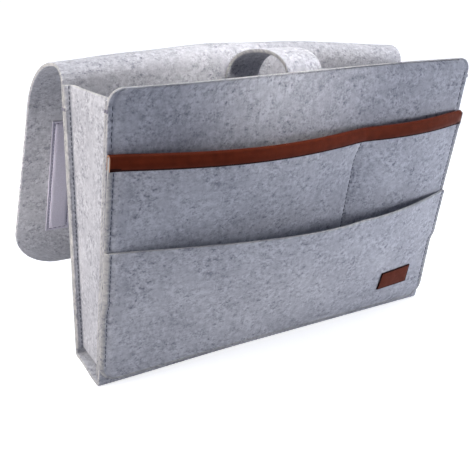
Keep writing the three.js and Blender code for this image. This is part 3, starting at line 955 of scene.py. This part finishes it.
class CADDY_OT_stitching(bpy.types.Operator):
    """Sew the seams with thread"""
    bl_idname = "caddy.stitching"
    bl_label = "Stitching"

    def execute(self, context):
        body, pockets, tapes, finish = groups(context, "body", "pockets", "tapes", "finish")
        thread = sewing_thread("polyester_thread", finish.thread)
        pale_thread = sewing_thread("pale_polyester_thread", finish.tape_thread)
        slope = lean(body)
        out_of_front = Vector((0, -math.cos(slope), -math.sin(slope)))
        seam = body.width / 2 - pockets.stitched

        def up_front(x, bottom, stand=None):
            def line(run):
                height = bottom + run
                out = stand(body, pockets, x, height) + pocket_felt(body, pockets, x) if stand else 0
                return front_point(body, x, height, out - pockets.groove), out_of_front
            return line

        def up_flange(x, depth, facing):
            def line(run):
                z = body.gusset_bottom + run
                return Vector((x, depth(z), z)), Vector((0, facing, 0))
            return line

        flange_rows = (
            (lambda z: back_low.y - body.gap - body.felt, -1),
            (lambda z: front_inner(body, z) + body.gap + body.felt, 1),
            (lambda z: body.base_depth / 2 - pockets.groove, 1))
        bag = bmesh.new()
        tacks = bmesh.new()
        stitch = partial(sew, bag, tapes)
        # Rows stop this far short of a layer's edge.
        short = 1 * MM
        trim_bottom = pockets.mid_mouth - pockets.trim
        low_start = pockets.bottom + pockets.low_corner
        mid_start = pockets.low_mouth + short
        for x in (-seam, seam):
            stitch(up_front(x, low_start, low_stand), pockets.low_mouth - low_start - short)
            stitch(up_front(x, mid_start, mid_stand), trim_bottom - mid_start - short)
            stitch(up_front(x, pockets.mid_mouth + 2 * short), 32 * MM)
            for depth, facing in flange_rows:
                stitch(up_flange(x, depth, facing), body.gusset_top - body.gusset_bottom)
            self.bar_tacks(tacks, body, tapes, math.copysign(body.width / 2, x))
        split_start = pockets.cross_seam + 6 * MM
        divider = up_front(divider_at(body, pockets), split_start, mid_stand)
        stitch(divider, trim_bottom - split_start - short)
        for name, shell, colour in (("bag_stitching", bag, thread), ("bar_tacks", tacks, pale_thread)):
            settle(shell, body)
            self.keep(shell, name, "bag", colour)

        for part, (carrier, surface, first, normal) in reversed(tape_seats(body, tapes).items()):
            shell = bmesh.new()
            for centre in tape_middles(body, tapes).values():
                self.frame_tape(shell, body, tapes, surface, centre, first, normal)
            if carrier == "bag":
                settle(shell, body)
            self.keep(shell, f"{part}_tape_stitching", carrier, pale_thread)
        return {"FINISHED"}

    def bar_tacks(self, shell, body, tapes, x):
        """Sews the short tacks at one side's edge, three rows each, low in the front and the rear seam."""
        outward = Vector((math.copysign(1, x), 0, 0))
        for step in range(3):
            z = body.tack + step * tapes.thread * 1.1
            front_z = z + 4 * MM
            for y, height in ((front_inner(body, front_z), front_z), (back_low.y, z - 8 * MM)):
                first = Vector((x, y - body.felt - 1 * MM, height))
                sew(shell, tapes, lambda run: (first + Vector((0, run, 0)), outward), 2 * tapes.pitch)

    def frame_tape(self, shell, body, tapes, surface, centre, first, normal):
        """Sews round a tape, a little inside its edges."""
        out = body.gap + tapes.thickness * tapes.border_pile - 0.5 * MM
        near = first + tapes.border
        far = first + tapes.length - tapes.border
        left = centre - tapes.width / 2 + tapes.border
        right = centre + tapes.width / 2 - tapes.border
        for x in (left, right):
            sew(shell, tapes, lambda run: (surface(x, near + run, out), normal), far - near)
        for y in (near, far):
            sew(shell, tapes, lambda run: (surface(left + run, y, out), normal), right - left)

    def keep(self, shell, name, carrier, thread):
        """Makes the stitches one piece that rides on its carrier."""
        for face in shell.faces:
            face.smooth = True
        piece = finish_piece(name, shell, [thread])
        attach(piece, carrier)


class CADDY_OT_studio(bpy.types.Operator):
    """Set the floor, the light and the camera"""
    bl_idname = "caddy.studio"
    bl_label = "Studio"

    def execute(self, context):
        context.scene.view_settings.view_transform = "Standard"
        self.floor()
        self.room(context)
        self.lights(context)
        self.camera(context, context.scene.caddy_studio)
        return {"FINISHED"}

    def floor(self):
        """A matt white floor that runs out of sight: it shows as white, and keeps the shadow."""
        shell = bmesh.new()
        bmesh.ops.create_grid(shell, x_segments=1, y_segments=1, size=12)
        material, tree, surface = new_material("white_studio_paper")
        # Its glow makes up what the lamps leave short of white.
        glow = add(tree, "ShaderNodeMath", {0: self.seen_directly(tree), 1: 0.76}, operation="MULTIPLY")
        wire(tree, surface, {
            "Base Color": linear("#c3c6cc"), "Roughness": 1, "Specular IOR Level": 0,
            "Emission Color": (1, 1, 1, 1), "Emission Strength": glow})
        finish_piece("floor", shell, [material])

    def seen_directly(self, tree):
        """1 for rays that show the background: straight from the camera, or by way of gloss or glass."""
        path = add(tree, "ShaderNodeLightPath")
        seen = path.outputs["Is Camera Ray"]
        for ray in ("Is Glossy Ray", "Is Transmission Ray"):
            seen = add(tree, "ShaderNodeMath", {0: seen, 1: path.outputs[ray]}, operation="MAXIMUM")
        return seen

    def room(self, context):
        """A room that shows as white, and lights the caddy with a dim pale blue."""
        world = bpy.data.worlds.new("studio")
        context.scene.world = world
        world.use_nodes = True
        tree = world.node_tree
        tree.nodes.clear()
        seen = self.seen_directly(tree)
        tint = add(tree, "ShaderNodeMix", {0: seen, MIX_FROM: linear("#c6d5ff"), MIX_TO: (1, 1, 1, 1)},
                   data_type="RGBA")
        strength = add(tree, "ShaderNodeMapRange", {"Value": seen, "To Min": 0.138, "To Max": 1})
        sky = add(tree, "ShaderNodeBackground", {"Color": tint.outputs[MIXED], "Strength": strength})
        add(tree, "ShaderNodeOutputWorld", {"Surface": sky})

    def lights(self, context):
        """Soft daylight from a window on the left and a ceiling, with weak lamps that fill in each side."""
        area = partial(self.lamp, context, "AREA")
        long = partial(area, shape="RECTANGLE")
        area("window", (-0.75, 0.05, 0.22), (-0.17, 0.03, 0.13), 3.2, "#fff6ec", size=0.35)
        self.lamp(context, "SUN", "ceiling", (-0.1, 0.04, 1), (0, 0, 0), 0.54 * math.pi, "#f8faff",
                  angle=math.radians(50))
        long("mouth", (0.03, -0.065, 0.39), (0.03, 0.03, 0.24), 0.32, "#fffaf4",
             size=0.6, size_y=0.06, spread=math.radians(110))
        area("upper", (-0.01, -0.6, 0.55), (-0.018, -0.065, 0.262), 0.026, "#fffaf4",
             size=0.06, spread=math.radians(18))
        long("card", (0.38, -0.42, 0.2), (0.15, -0.06, 0.11), 0.34, "#f2f5ff",
             size=0.5, size_y=0.14, spread=math.radians(75))
        low = partial(long, size=0.25, size_y=0.04, spread=math.radians(20))
        low("low_left", (-0.14, -0.62, 0.1), (-0.09, -0.05, 0.045), 0.0105, "#fff8ee")
        low("low_right", (0.2, -0.6, 0.09), (0.07, -0.05, 0.045), 0.009, "#fff8ee")
        area("aside", (-0.62, -0.06, 0.06), (-0.2, 0.13, 0.11), 0.045, "#fff8f0",
             size=0.12, spread=math.radians(24))
        area("behind", (0.1, 1.05, 0.4), (0, 0.16, 0.12), 3.2, "#ffffff", size=0.5)
        area("right", (0.95, 0.12, 0.22), (0.17, 0.02, 0.13), 2.6, "#ffffff", size=0.3)

    def lamp(self, context, kind, name, place, target, power, tint, **settings):
        """A lamp in its place, turned to its target."""
        lamp = bpy.data.lights.new(name, kind)
        lamp.energy = power
        lamp.color = linear(tint)[:3]
        for setting, value in settings.items():
            setattr(lamp, setting, value)
        holder = bpy.data.objects.new(name, lamp)
        holder.location = place
        holder.rotation_euler = (Vector(place) - Vector(target)).to_track_quat("Z", "Y").to_euler()
        holder.visible_camera = False
        context.scene.collection.objects.link(holder)

    def camera(self, context, studio):
        """The photograph's view."""
        turn, tilt, roll = studio.azimuth, studio.elevation, studio.roll
        back = Vector((math.sin(turn) * math.cos(tilt), -math.cos(turn) * math.cos(tilt), math.sin(tilt)))
        level = Vector((0, 0, 1)).cross(back).normalized()
        upward = back.cross(level)
        right = math.cos(roll) * level + math.sin(roll) * upward
        above = back.cross(right)
        turned = Matrix((right, above, back)).transposed().to_4x4()
        lens = bpy.data.cameras.new("camera")
        lens.sensor_width = 36
        lens.lens = studio.focal_pixels / PIXELS * lens.sensor_width
        camera = bpy.data.objects.new("camera", lens)
        camera.matrix_world = Matrix.Translation(studio.place) @ turned
        context.scene.collection.objects.link(camera)
        context.scene.camera = camera


class CADDY_PT_panel(bpy.types.Panel):
    """Lists the caddy's steps and sizes in the sidebar"""
    bl_idname = "CADDY_PT_panel"
    bl_label = "Bedside caddy"
    bl_space_type = "VIEW_3D"
    bl_region_type = "UI"
    bl_category = "Caddy"

    def draw(self, context):
        for step in STEPS:
            self.layout.operator(step.bl_idname)
        for holder in GROUPS:
            settings = getattr(context.scene, holder)
            for name in settings.__annotations__:
                self.layout.prop(settings, name)


STEPS = (CADDY_OT_strip, CADDY_OT_gussets, CADDY_OT_pockets, CADDY_OT_leather, CADDY_OT_strap,
         CADDY_OT_tapes, CADDY_OT_stitching, CADDY_OT_studio)
GROUPS = {"caddy_body": CaddyBody, "caddy_pockets": CaddyPockets, "caddy_tapes": CaddyTapes,
          "caddy_finish": CaddyFinish, "caddy_studio": CaddyStudio}


def register():
    for cls in (*GROUPS.values(), *STEPS, CADDY_PT_panel):
        bpy.utils.register_class(cls)
    for holder, group in GROUPS.items():
        setattr(bpy.types.Scene, holder, PointerProperty(type=group))


def unregister():
    for holder in GROUPS:
        delattr(bpy.types.Scene, holder)
    for cls in reversed((*GROUPS.values(), *STEPS, CADDY_PT_panel)):
        bpy.utils.unregister_class(cls)


def main():
    register()
    bpy.ops.caddy.strip()
    bpy.ops.caddy.gussets()
    bpy.ops.caddy.pockets()
    bpy.ops.caddy.leather()
    bpy.ops.caddy.strap()
    bpy.ops.caddy.tapes()
    bpy.ops.caddy.stitching()
    bpy.ops.caddy.studio()


if __name__ == "__main__":
    main()
